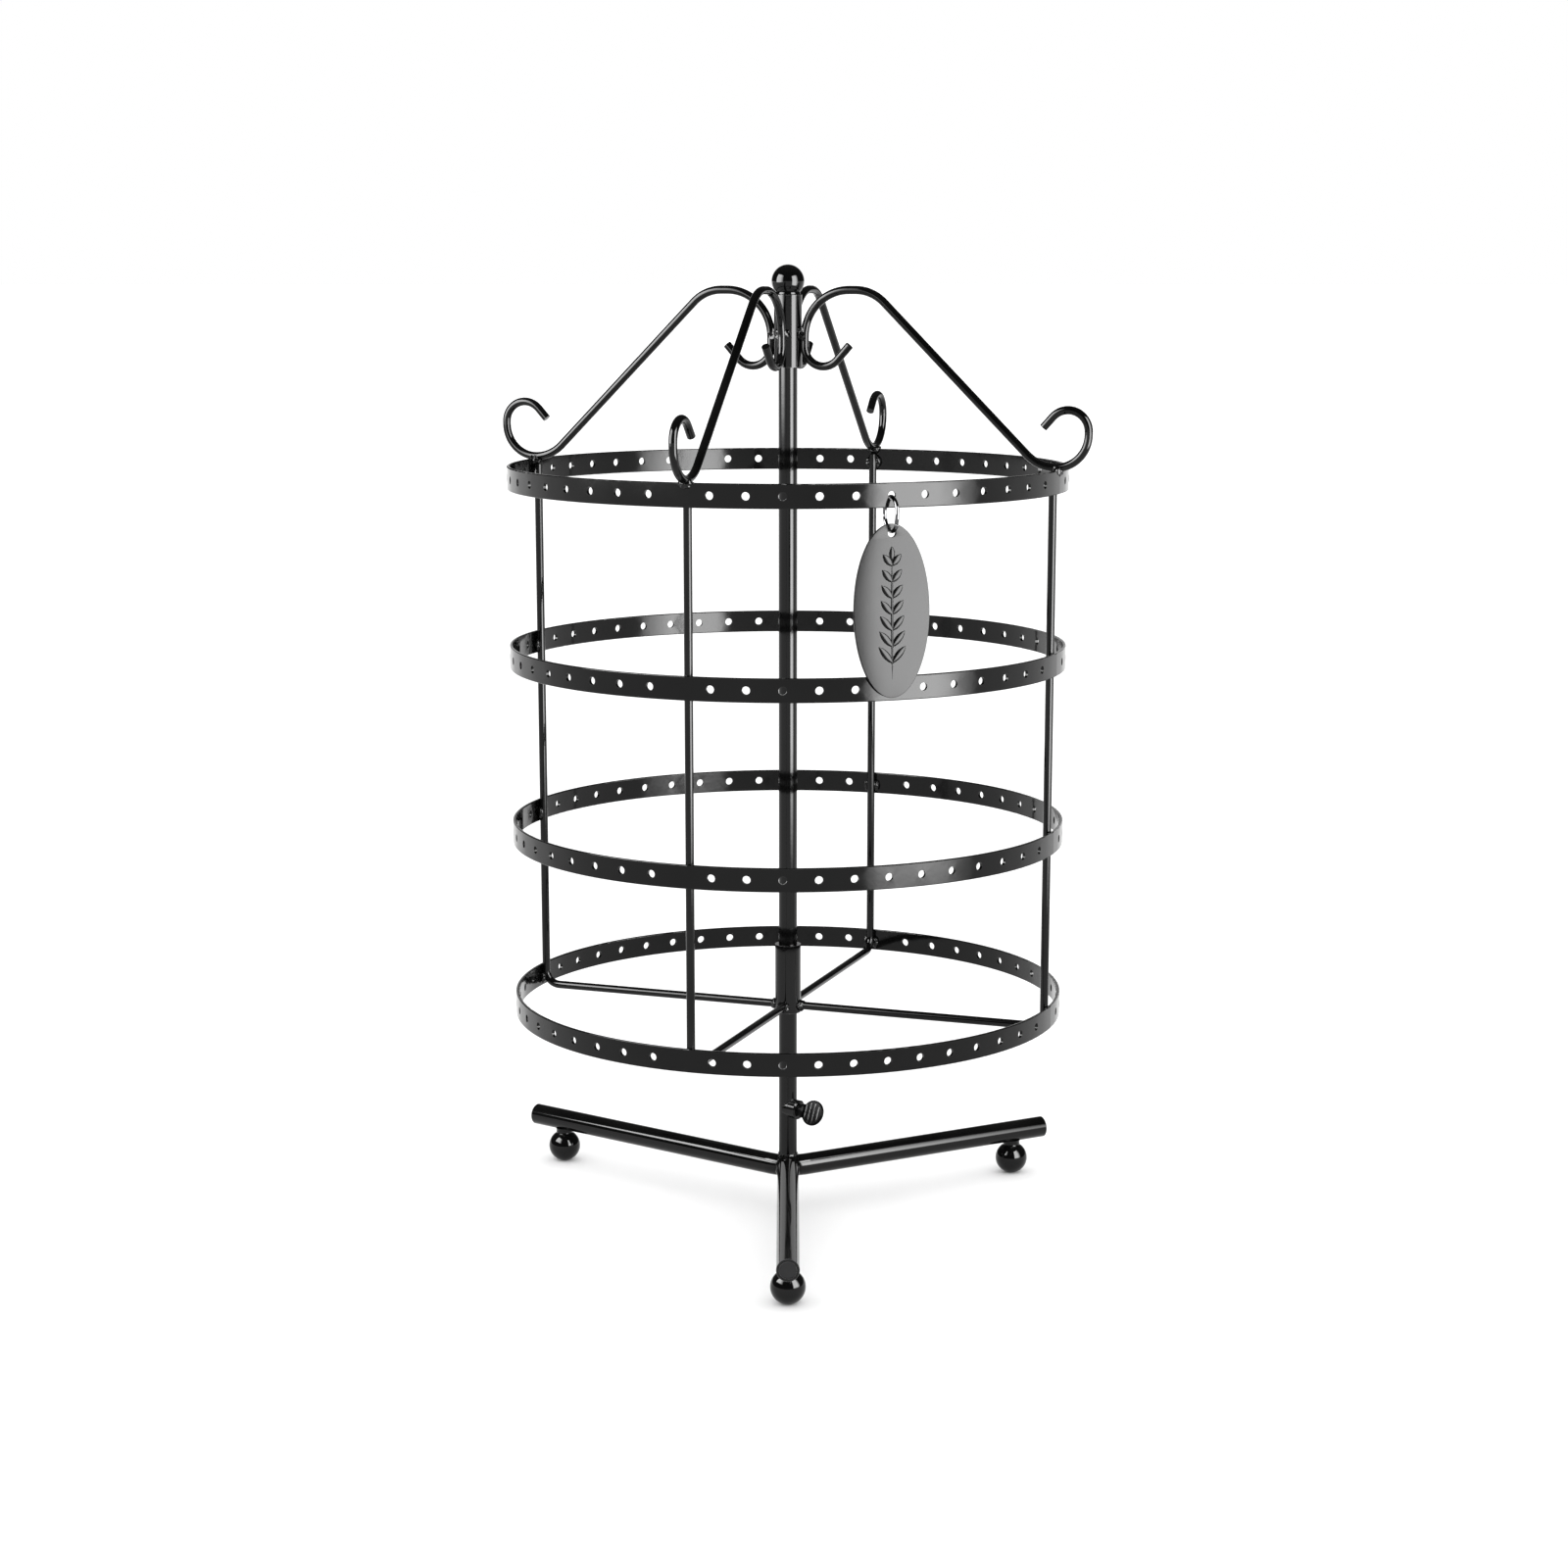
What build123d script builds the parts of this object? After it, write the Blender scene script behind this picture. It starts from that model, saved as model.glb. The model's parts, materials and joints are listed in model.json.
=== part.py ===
from build123d import *
import os
from math import atan, cos, degrees, radians, sin, sqrt

# Counter-top rotating display rack: a tripod of bent tube, a pole that stands on a
# spigot, and a wire-and-strip cage with four perforated bands that spins on the pole.
# The origin is on the pole's axis at table level and +Z is up. Lengths are in
# millimetres and angles in degrees.

# ---------------------------------------------------------------- base dimensions
FOOT_BALL_D = 11.6        # turned ball under each leg
FOOT_FLAT_D = 3.4         # flat on the underside of a ball, where it rests
FOOT_NECK_D = 6.0         # short neck that joins a ball to its leg
FOOT_NECK_H = 0.3         # daylight between the ball's crown and the leg
FOOT_INSET = 13.0         # from a leg's end to its foot's centre
FOOT_STUD_D = 3.0
FOOT_STUD_BITE = 3.0      # depth of the stud in the ball
FOOT_STUD_STAND = 0.8     # how far the stud stands proud inside the leg
LEG_OD = 7.6
LEG_WALL = 1.0
LEG_BEND_R = 12.0         # centreline radius of the bend in the rear pair of legs
RIGHT_LEG_L = 107.0       # from the bend's corner to the open end
LEFT_LEG_L = 116.0
FRONT_LEG_L = 114.0       # from the pole's axis to the open end
RIGHT_LEG_ANGLE = 28.4    # directions in plan, from +X
LEFT_LEG_ANGLE = 144.2
FRONT_LEG_ANGLE = -90.0
PLUG_DEPTH = 6.0          # plastic plug pressed into each open end
PLUG_RECESS = 0.25        # plug's face below the tube's rim

# ---------------------------------------------------------------- pole dimensions
POLE_OD = 6.4
POLE_ID = 4.3
POLE_L = 295.0
SEAT_RISE = 0.8           # weld collar that the pole stands on, above the leg's crown
SEAT_LAND = 0.3           # collar's top stands out past the pole
SEAT_FLARE = 1.7          # collar's foot stands out past its top
SEAT_BASE_RISE = 2.0      # foot of the weld collar above the leg's axis
LEG_WELD_R = 4.9          # lump where the front leg meets the bend
LEG_WELD_REACH = 2.4
POLE_ROOM = 0.2           # radial daylight between that lump and the pole
SPIGOT_CLEARANCE = 0.08   # radial, spigot in pole
SPIGOT_L = 40.0           # length of spigot inside the pole
SPIGOT_ROOT = 1.0         # how far it runs below the leg's axis
PIVOT_STEM_L = 8.0        # nylon pivot plug in the pole's top end
PIVOT_FLANGE_D = 6.0
PIVOT_FLANGE_H = 1.5
THRUST_GAP = 0.05         # pivot flange to cage cap

# --------------------------------------------------------- clamp screw dimensions
SCREW_ABOVE_SEAT = 16.6
SCREW_ANGLE = -40.0       # direction of the screw in plan, from +X
SCREW_ROLL = -24.0        # how far the thumb piece is turned about the screw
SCREW_D = 4.0
THREAD_CLEARANCE = 0.06   # radial, screw in boss
SCREW_TIP_GAP = 0.12      # screw's tip to spigot when just clear
SCREW_TIP_CHAMFER = 0.4
BOSS_D = 6.8
BOSS_REACH = 5.5          # boss's outer face from the pole's axis
BOSS_CHAMFER = 0.5
THUMB_D = 9.0
THUMB_T = 2.2
THUMB_REACH = 11.4        # centre of the thumb piece from the pole's axis
THUMB_ROOT = 1.2          # how far the screw runs into the thumb piece
THUMB_EDGE_R = 0.5
THUMB_RIBS = 4
THUMB_GROOVE_W = 0.9
THUMB_GROOVE_DEPTH = 0.35

# ---------------------------------------------------------------- cage dimensions
CAGE_TURN = -19.7         # where the cage stands at rest, about +Z
TIERS = 4
TIER_PITCH = 60.4
BAND_OD = 190.0
BAND_T = 1.1
BAND_H = 7.8
BAND_EDGE_R = 0.3
HOLE_D = 2.6
HOLE_STEP = 6.95          # angle between neighbouring earring holes
HOLE_PLACES = 51
HOLE_LEAD = 4.8           # first hole, past the upright at -90 degrees
HOLE_BLOCKED = 3.0        # no hole is punched this close to an upright
UPRIGHTS = 4
ROD_D = 2.8
ROD_SINK = 0.15           # depth that a resistance weld sinks a rod into its neighbour
ROD_BEND_R = 5.0
SPOKE_ABOVE_BAND_FOOT = 0.5
SPOKE_BITE = 0.6          # how far each spoke is let into the bottom sleeve
SLEEVE_CLEARANCE = 0.08   # radial, sleeves on the pole
TOP_SLEEVE_OD = 9.5
TOP_SLEEVE_L = 24.0
TOP_SLEEVE_ABOVE_BAND = 56.4
BOTTOM_SLEEVE_OD = 9.0
BOTTOM_SLEEVE_L = 24.3
BOTTOM_SLEEVE_DROP = 2.0  # below the lowest band's lower edge
CAP_T = 2.5
FINIAL_D = 11.0
FINIAL_COLLAR_D = 8.4
FINIAL_COLLAR_H = 0.95
FINIAL_STUD_D = 3.0
FINIAL_STUD_BITE = 4.0
FINIAL_STUD_LIFT = 0.2    # stud's foot above the cap's underside
WELD_R = 2.3              # weld lumps at the sleeves and under the scroll arms
HEEL_WELD_INSET = 0.5     # lump's centre inside the middle of the band
HEEL_WELD_DROP = 0.4      # lump's centre below the band's top edge
SIDE_WELD_PROUD = 0.4     # lump's centre outside the top sleeve
SPOKE_WELD_PROUD = 0.2    # lump's centre outside the bottom sleeve
TACK_R = 1.2              # tacks between the uprights and the bands
TACK_L = 3.6
TACK_DROP = 4.7           # below a band's top edge
TACK_INSET = 0.8          # tack's centre inside the band's inner face
TACK_ASIDE = 0.2          # tack's centre beside the rod's side
ARM_WELD_RISE = 43.3      # weld of each arm to the top sleeve, above the top band

# --------------------------------------------------------------- scroll arm shape
ARM_CREST = 58.0          # rod's centreline at the crest, above the top band
ARM_DIVE = 44.6           # slope of the long straight
ARM_TAIL_L = 6.5          # straight end of the inner curl
ARM_TAIL_TURN = 48.0
ARM_CURL_R = 6.6
ARM_SIDE_L = 3.1          # upright run along the top sleeve
ARM_SHOULDER_R = 15.5
ARM_CREST_R = 14.0
ARM_HEEL_R = 14.0         # where the rod crosses the top band
ARM_HEEL_INSET = 0.95     # lowest point of the rod, inside the middle of the band
ARM_HEEL_SINK = 0.6
HOOK_SIDE_R = 10.9
HOOK_SIDE_L = 0.9
HOOK_TOP_R = 7.0
HOOK_TURN = 138.0
HOOK_TIP_L = 4.6

# ------------------------------------------------------- hanging tag and its ring
TAG_HOLE_PLACE = 5        # earring hole that carries the tag
RING_WIRE_D = 1.3
RING_MEAN_D = 10.7
RING_SPLIT = 0.2
RING_SPLIT_ANGLE = -30.0  # where the split sits round the ring
HANG_CLEARANCE = 0.15     # slack where the ring, tag and band hang on each other
TAG_W = 25.4
TAG_H = 54.4
TAG_T = 1.0
TAG_EDGE_R = 0.2
TAG_HOLE_D = 2.6
TAG_HOLE_INSET = 2.9
TAG_GAP = 0.3             # tag's back to the second band

# -------------------------------------------------------------- worked-out places
BALL_R = FOOT_BALL_D / 2
BALL_Z = sqrt(BALL_R ** 2 - (FOOT_FLAT_D / 2) ** 2)
LEG_Z = BALL_Z + BALL_R + FOOT_NECK_H + LEG_OD / 2
SEAT_Z = LEG_Z + LEG_OD / 2 + SEAT_RISE
SEAT_TOP_R = POLE_OD / 2 + SEAT_LAND
SEAT_BASE_R = SEAT_TOP_R + SEAT_FLARE
POLE_TOP = SEAT_Z + POLE_L
CAP_Z = POLE_TOP + PIVOT_FLANGE_H + THRUST_GAP
SLEEVE_TOP = CAP_Z + CAP_T
BAND_TOP = SLEEVE_TOP - TOP_SLEEVE_ABOVE_BAND
BAND_FOOT = BAND_TOP - (TIERS - 1) * TIER_PITCH - BAND_H
BOTTOM_SLEEVE_FOOT = BAND_FOOT - BOTTOM_SLEEVE_DROP
SPOKE_Z = BAND_FOOT + SPOKE_ABOVE_BAND_FOOT
ROD_R = ROD_D / 2
BAND_R_IN = BAND_OD / 2 - BAND_T
UPRIGHT_R = BAND_R_IN - ROD_R + ROD_SINK
UPRIGHT_TOP = BAND_TOP - ARM_HEEL_SINK - ROD_R
BORE_R = POLE_OD / 2 + SLEEVE_CLEARANCE
SPIGOT_R = POLE_ID / 2 - SPIGOT_CLEARANCE
SCREW_Z = SEAT_Z + SCREW_ABOVE_SEAT
HOLE_Z = BAND_TOP - BAND_H / 2
TAG_ANGLE = -90.0 + HOLE_LEAD + TAG_HOLE_PLACE * HOLE_STEP
RING_R = BAND_OD / 2 - BAND_T / 2
RING_DROP = (HOLE_D - RING_WIRE_D) / 2 - HANG_CLEARANCE
RING_Z = HOLE_Z - RING_DROP - RING_MEAN_D / 2


def polar(reach, angle, z):
    """A point at a distance from the pole's axis, in a direction in plan."""
    return (reach * cos(radians(angle)), reach * sin(radians(angle)), z)


def post(radius, z_low, z_high):
    """An upright cylinder on the pole's axis."""
    return Pos(0, 0, (z_low + z_high) / 2) * Cylinder(radius, z_high - z_low)


def radial_pin(radius, angle, r_low, r_high, z):
    """A cylinder that lies along a radius."""
    at = polar((r_low + r_high) / 2, angle, z)
    return Pos(*at) * Rot(0, 0, angle) * Rot(0, 90, 0) * Cylinder(radius, r_high - r_low)


def bead(radius, angle, reach, z, aside=0.0):
    """A round lump of weld, before its neighbours are cut out of it."""
    return Rot(0, 0, angle) * Pos(reach, aside, z) * Sphere(radius)


def swept_rod(path, radius):
    """A round rod along a path."""
    start = Plane(origin=path @ 0, z_dir=path % 0)
    return sweep(start * Circle(radius), path=path)


def largest(shape):
    """The biggest solid of a cut."""
    return max(shape.solids(), key=lambda solid: solid.volume)


def group(solids):
    """Several separate solids as one sub-part."""
    return Compound(list(solids))


# --------------------------------------------------------------------------- base
def rear_leg_path():
    """Centreline of the bent tube, whose bend passes under the pole."""
    half_turn = (180.0 - LEFT_LEG_ANGLE + RIGHT_LEG_ANGLE) / 2
    middle = (LEFT_LEG_ANGLE + RIGHT_LEG_ANGLE) / 2
    setback = LEG_BEND_R * (1 / cos(radians(half_turn)) - 1)
    corner = Vector(*polar(-setback, middle, LEG_Z))
    right_end = corner + Vector(*polar(RIGHT_LEG_L, RIGHT_LEG_ANGLE, 0))
    left_end = corner + Vector(*polar(LEFT_LEG_L, LEFT_LEG_ANGLE, 0))
    return corner, FilletPolyline(right_end, corner, left_end, radius=LEG_BEND_R)


def leg_ends():
    """Open end and direction in plan of each leg: right, left, front."""
    corner, _ = rear_leg_path()
    return [
        (corner + Vector(*polar(RIGHT_LEG_L, RIGHT_LEG_ANGLE, 0)), RIGHT_LEG_ANGLE),
        (corner + Vector(*polar(LEFT_LEG_L, LEFT_LEG_ANGLE, 0)), LEFT_LEG_ANGLE),
        (Vector(*polar(FRONT_LEG_L, FRONT_LEG_ANGLE, LEG_Z)), FRONT_LEG_ANGLE),
    ]


def foot_places():
    """Centre of each foot ball: right, left, front."""
    places = []
    for end, angle in leg_ends():
        step = Vector(*polar(FOOT_INSET, angle, 0))
        places.append(Vector(end.X - step.X, end.Y - step.Y, BALL_Z))
    return places


def foot_stud(place):
    """Threaded stud that runs from inside the ball into the leg."""
    low = BALL_Z + BALL_R - FOOT_STUD_BITE
    high = LEG_Z - LEG_OD / 2 + LEG_WALL + FOOT_STUD_STAND
    return Pos(place.X, place.Y, (low + high) / 2) * Cylinder(FOOT_STUD_D / 2, high - low)


def make_base():
    """Legs, feet, plugs and the spigot that the pole stands on."""
    _, path = rear_leg_path()
    inner_r = LEG_OD / 2 - LEG_WALL
    rear_solid = swept_rod(path, LEG_OD / 2)
    rear_core = swept_rod(path, inner_r)
    front_at = Pos(*polar(FRONT_LEG_L / 2, FRONT_LEG_ANGLE, LEG_Z)) * Rot(0, 0, FRONT_LEG_ANGLE)
    along = Rot(0, 90, 0)
    front_solid = largest(front_at * along * Cylinder(LEG_OD / 2, FRONT_LEG_L) - rear_solid)
    front_core = front_at * along * Cylinder(inner_r, FRONT_LEG_L)

    spigot = post(SPIGOT_R, LEG_Z - SPIGOT_ROOT, SEAT_Z + SPIGOT_L)
    studs = [foot_stud(place) for place in foot_places()]
    rear = rear_solid - rear_core - spigot - studs[0] - studs[1]
    front = front_solid - front_core - studs[2]

    plugs = []
    for end, angle in leg_ends():
        middle = end - Vector(*polar(PLUG_RECESS + PLUG_DEPTH / 2, angle, 0))
        place = Pos(middle.X, middle.Y, middle.Z) * Rot(0, 0, angle) * along
        plug = place * Cylinder(inner_r, PLUG_DEPTH)
        plugs.append(plug)

    balls = []
    for place, stud in zip(foot_places(), studs):
        ball = Pos(place.X, place.Y, BALL_Z) * Sphere(BALL_R)
        below = Pos(place.X, place.Y, -BALL_R) * Box(FOOT_BALL_D, FOOT_BALL_D, FOOT_BALL_D)
        neck_h = LEG_Z - BALL_Z
        neck = Pos(place.X, place.Y, BALL_Z + neck_h / 2) * Cylinder(FOOT_NECK_D / 2, neck_h)
        balls.append(largest(ball - below + neck - rear_solid - front_solid - front_core - stud))

    collar_h = SEAT_Z - LEG_Z - SEAT_BASE_RISE
    collar = Pos(0, 0, SEAT_Z - collar_h / 2) * Cone(SEAT_BASE_R, SEAT_TOP_R, collar_h)
    seat_weld = largest(collar - rear_solid - front_solid - front_core - spigot)
    lump = bead(LEG_WELD_R, FRONT_LEG_ANGLE, LEG_WELD_REACH, LEG_Z)
    pole_room = post(POLE_OD / 2 + POLE_ROOM, SEAT_Z - POLE_ROOM, SEAT_Z + LEG_WELD_R)
    leg_weld = lump - rear_solid - front_solid - front_core - collar - pole_room
    return {
        "rear_leg_tube": largest(rear),
        "front_leg_tube": largest(front),
        "leg_end_plugs": group([largest(p) for p in plugs]),
        "foot_balls": group(balls),
        "foot_studs": group([largest(s) for s in studs]),
        "spigot_rod": spigot,
        "pole_seat_weld": seat_weld,
        "leg_weld": largest(leg_weld),
    }


# --------------------------------------------------------------------------- pole
def make_pole():
    """The pole, the threaded boss near its foot and the nylon pivot in its top."""
    outer = post(POLE_OD / 2, SEAT_Z, POLE_TOP)
    bore = post(POLE_ID / 2, SEAT_Z, POLE_TOP)
    tap = radial_pin(SCREW_D / 2 + THREAD_CLEARANCE, SCREW_ANGLE, 0.0, 2 * BOSS_REACH, SCREW_Z)
    boss = radial_pin(BOSS_D / 2, SCREW_ANGLE, 0.0, BOSS_REACH, SCREW_Z)
    outer_edge = boss.edges().sort_by(lambda edge: edge.center().X ** 2 + edge.center().Y ** 2)[-1]
    boss = chamfer(outer_edge, BOSS_CHAMFER)
    stem = post(POLE_ID / 2, POLE_TOP - PIVOT_STEM_L, POLE_TOP)
    flange = post(PIVOT_FLANGE_D / 2, POLE_TOP, POLE_TOP + PIVOT_FLANGE_H)
    return {
        "pole_tube": largest(outer - bore - tap),
        "screw_boss": largest(boss - outer - tap),
        "pivot_plug": stem + flange,
    }


def make_thumb_screw():
    """The clamp screw with its flat, grooved thumb piece, one forging."""
    tip = SPIGOT_R + SCREW_TIP_GAP
    neck_end = THUMB_REACH - THUMB_D / 2 + THUMB_ROOT
    shank = Pos((tip + neck_end) / 2, 0, 0) * Rot(0, 90, 0) * Cylinder(SCREW_D / 2, neck_end - tip)
    shank = chamfer(shank.edges().sort_by(Axis.X)[0], SCREW_TIP_CHAMFER)
    disc = Rot(90, 0, 0) * Cylinder(THUMB_D / 2, THUMB_T)
    head = Pos(THUMB_REACH, 0, 0) * fillet(disc.edges().filter_by(GeomType.CIRCLE), THUMB_EDGE_R)
    spacing = THUMB_D / (THUMB_RIBS + 1)
    for k in range(THUMB_RIBS):
        x = THUMB_REACH + (k - (THUMB_RIBS - 1) / 2) * spacing
        for side in (-1, 1):
            y = side * (THUMB_T / 2 - THUMB_GROOVE_DEPTH / 2)
            cutter = Box(THUMB_GROOVE_W, THUMB_GROOVE_DEPTH, 2 * THUMB_D)
            head -= Pos(x, y, 0) * cutter
    screw = largest(shank + head)
    return {"thumb_screw": Pos(0, 0, SCREW_Z) * Rot(0, 0, SCREW_ANGLE) * Rot(SCREW_ROLL, 0, 0) * screw}


# --------------------------------------------------------------------------- cage
def upright_angles():
    """Directions of the four uprights before the cage is turned: a, b, c, d."""
    return [-90.0 + k * 360.0 / UPRIGHTS for k in range(UPRIGHTS)]


def around(shape):
    """Copies of a shape made on +X, one at each upright."""
    return [Rot(0, 0, angle) * shape for angle in upright_angles()]


def upright_rod():
    """One rod bent into an upright and the spoke below it."""
    inner = BOTTOM_SLEEVE_OD / 2 - SPOKE_BITE
    path = FilletPolyline(
        (UPRIGHT_R, 0, UPRIGHT_TOP), (UPRIGHT_R, 0, SPOKE_Z), (inner, 0, SPOKE_Z), radius=ROD_BEND_R
    )
    return swept_rod(path, ROD_R)


def run(points, heading, length):
    """Adds a straight to a flat outline and returns its edge."""
    start = points[-1]
    end = (start[0] + length * cos(radians(heading)), start[1] + length * sin(radians(heading)))
    points.append(end)
    return Line(start, end)


def turn(points, heading, radius, sweep_angle):
    """Adds an arc, clockwise when the sweep is negative, and returns its edge."""
    direction = (cos(radians(heading)), sin(radians(heading)))
    arc = JernArc(points[-1], direction, radius, sweep_angle)
    end = arc @ 1
    points.append((end.X, end.Y))
    return arc


def arm_rod():
    """One scroll arm: inner curl, crest, long straight, heel on the band, hook."""
    side_r = TOP_SLEEVE_OD / 2 + ROD_R - ROD_SINK
    crest_z = BAND_TOP + ARM_CREST
    heel_z = BAND_TOP + ROD_R - ARM_HEEL_SINK
    dive = radians(ARM_DIVE)
    arcs = ARM_CREST_R + ARM_HEEL_R
    straight = (crest_z - heel_z - arcs * (1 - cos(dive))) / sin(dive)
    heel_reach = RING_R - ARM_HEEL_INSET
    level = heel_reach - side_r - ARM_SHOULDER_R - arcs * sin(dive) - straight * cos(dive)
    side_foot = crest_z - ARM_SHOULDER_R - ARM_SIDE_L

    # The outline starts at the foot of the side and is drawn both ways from there.
    ahead = [(side_r, side_foot)]
    edges = [run(ahead, 90, ARM_SIDE_L)]
    edges.append(turn(ahead, 90, ARM_SHOULDER_R, -90))
    edges.append(run(ahead, 0, level))
    edges.append(turn(ahead, 0, ARM_CREST_R, -ARM_DIVE))
    edges.append(run(ahead, -ARM_DIVE, straight))
    edges.append(turn(ahead, -ARM_DIVE, ARM_HEEL_R, ARM_DIVE))
    edges.append(turn(ahead, 0, HOOK_SIDE_R, 90))
    edges.append(run(ahead, 90, HOOK_SIDE_L))
    edges.append(turn(ahead, 90, HOOK_TOP_R, HOOK_TURN))
    edges.append(run(ahead, 90 + HOOK_TURN, HOOK_TIP_L))
    back = [(side_r, side_foot)]
    curl = 90 + ARM_TAIL_TURN
    edges.insert(0, turn(back, -90, ARM_CURL_R, curl))
    edges.insert(0, run(back, -90 + curl, ARM_TAIL_L))
    return swept_rod(Rot(90, 0, 0) * Wire(edges), ROD_R)


def hoop(top):
    """A plain band before it is punched."""
    ring = post(BAND_OD / 2, top - BAND_H, top) - post(BAND_R_IN, top - BAND_H, top)
    return fillet(ring.edges().filter_by(GeomType.CIRCLE), BAND_EDGE_R)


def earring_holes(top):
    """The punched holes of one band, none of them over an upright."""
    holes = []
    for k in range(HOLE_PLACES):
        angle = -90.0 + HOLE_LEAD + k * HOLE_STEP
        from_upright = min(abs((angle - a + 180) % 360 - 180) for a in upright_angles())
        if from_upright > HOLE_BLOCKED:
            reach = (BAND_R_IN - BAND_T, BAND_OD / 2 + BAND_T)
            holes.append(radial_pin(HOLE_D / 2, angle, *reach, top - BAND_H / 2))
    return holes


def make_bands(tops, rod, arm):
    """The four bands, let in where rods are welded, and the tacks that hold them."""
    parts = {}
    for k, top in enumerate(tops):
        plain = hoop(top)
        cutters = around(rod) + (around(arm) if k == 0 else [])
        parts[f"band_{k + 1}"] = largest(plain - earring_holes(top) - cutters)
        tacks = []
        for side in (-1, 1):
            lump = Pos(BAND_R_IN - TACK_INSET, side * (ROD_R + TACK_ASIDE), top - TACK_DROP)
            lump *= Cylinder(TACK_R, TACK_L)
            tacks.extend(around(largest(lump - plain - rod)))
        parts[f"band_{k + 1}_welds"] = group(tacks)
    return parts


def make_cage():
    """Everything that spins on the pole, before it is turned to its rest place."""
    sleeve_low = BOTTOM_SLEEVE_FOOT
    top_sleeve = post(TOP_SLEEVE_OD / 2, SLEEVE_TOP - TOP_SLEEVE_L, SLEEVE_TOP)
    bottom_sleeve = post(BOTTOM_SLEEVE_OD / 2, sleeve_low, sleeve_low + BOTTOM_SLEEVE_L)
    bore = post(BORE_R, sleeve_low, SLEEVE_TOP)
    rod = largest(upright_rod() - bottom_sleeve)
    arm = largest(arm_rod() - top_sleeve)
    tops = [BAND_TOP - k * TIER_PITCH for k in range(TIERS)]
    parts = make_bands(tops, rod, arm)
    for letter, upright, scroll in zip("abcd", around(rod), around(arm)):
        parts[f"upright_{letter}"] = upright
        parts[f"scroll_arm_{letter}"] = scroll

    heel = bead(WELD_R, 0, RING_R - HEEL_WELD_INSET, BAND_TOP - HEEL_WELD_DROP)
    heel = heel - hoop(BAND_TOP) - rod - arm
    side = bead(WELD_R, 0, TOP_SLEEVE_OD / 2 + SIDE_WELD_PROUD, BAND_TOP + ARM_WELD_RISE)
    side = side - top_sleeve - arm
    spoke = bead(WELD_R, 0, BOTTOM_SLEEVE_OD / 2 + SPOKE_WELD_PROUD, SPOKE_Z)
    spoke = spoke - bottom_sleeve - rod
    parts["arm_heel_welds"] = group(around(largest(heel)))
    parts["arm_sleeve_welds"] = group(around(largest(side)))
    parts["spoke_welds"] = group(around(largest(spoke)))

    collar_top = SLEEVE_TOP + FINIAL_COLLAR_H
    stud = post(FINIAL_STUD_D / 2, CAP_Z + FINIAL_STUD_LIFT, collar_top + FINIAL_STUD_BITE)
    ball_z = collar_top + sqrt((FINIAL_D / 2) ** 2 - (FINIAL_COLLAR_D / 2) ** 2)
    ball = Pos(0, 0, ball_z) * Sphere(FINIAL_D / 2)
    ball -= post(FINIAL_D, SLEEVE_TOP - FINIAL_D, collar_top)
    collar = post(FINIAL_COLLAR_D / 2, SLEEVE_TOP, collar_top)
    parts["top_sleeve"] = top_sleeve - bore
    parts["bottom_sleeve"] = bottom_sleeve - bore
    parts["sleeve_cap"] = post(BORE_R, CAP_Z, SLEEVE_TOP) - stud
    parts["finial_stud"] = stud
    parts["finial_ball"] = largest(ball + collar - stud)
    return parts


# ----------------------------------------------------------------- tag and its ring
def make_jump_ring():
    """Split wire ring through one earring hole and round the band's lower edge."""
    ring = Torus(RING_MEAN_D / 2, RING_WIRE_D / 2)
    split = Pos(RING_MEAN_D / 2, 0, 0) * Box(RING_WIRE_D * 2, RING_SPLIT, RING_WIRE_D * 2)
    ring = Rot(0, 0, RING_SPLIT_ANGLE) * (ring - split)
    return {"jump_ring": Pos(RING_R, 0, RING_Z) * Rot(90, 0, 0) * ring}


def tag_lean():
    """Angle by which the tag stands out to clear the band below it."""
    back = RING_R - TAG_T / 2
    drop = RING_Z - (BAND_TOP - TIER_PITCH)
    return degrees(atan((BAND_OD / 2 + TAG_GAP - back) / drop))


def make_tag():
    """Blank oval tag with eased edges, hung from the ring."""
    hole_y = -(RING_MEAN_D / 2 + RING_DROP)
    middle_y = hole_y + TAG_HOLE_INSET - TAG_H / 2
    plate = extrude(Ellipse(TAG_W / 2, TAG_H / 2), TAG_T)
    plate = Pos(0, middle_y, 0) * fillet(plate.edges(), TAG_EDGE_R)
    plate -= Pos(0, hole_y, TAG_T / 2) * Cylinder(TAG_HOLE_D / 2, TAG_T * 2)
    upright = Rot(0, 0, 90) * Rot(90, 0, 0) * Pos(0, 0, -TAG_T / 2) * plate
    return {"tag_plate": Pos(RING_R, 0, RING_Z) * Rot(0, -tag_lean(), 0) * upright}


# ------------------------------------------------------------------------- writing
parts = {}
parts.update(make_base())
parts.update(make_pole())
parts.update(make_thumb_screw())
for name, shape in make_cage().items():
    parts[name] = Rot(0, 0, CAGE_TURN) * shape
for name, shape in {**make_jump_ring(), **make_tag()}.items():
    parts[name] = Rot(0, 0, CAGE_TURN + TAG_ANGLE) * shape

os.makedirs("parts", exist_ok=True)
for name, shape in parts.items():
    export_step(shape, f"parts/{name}.step")
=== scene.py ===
"""Looks of a counter-top rotating display rack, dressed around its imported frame.

Everything is in metres, in the rack's own frame: the origin is on the pole's axis at
table level, +Z is up and the single front leg points to -Y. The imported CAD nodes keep
their place and shape. Turned, cast and welded pieces that need finer work than the
frame holds are built here and stand in for their nodes.
"""
import json
import logging
from dataclasses import dataclass
from enum import Enum
from math import asin, cos, pi, radians, sin, sqrt, tau
from typing import Callable, Iterable, Sequence

import bmesh
import bpy
from mathutils import Matrix, Vector, noise


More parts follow.
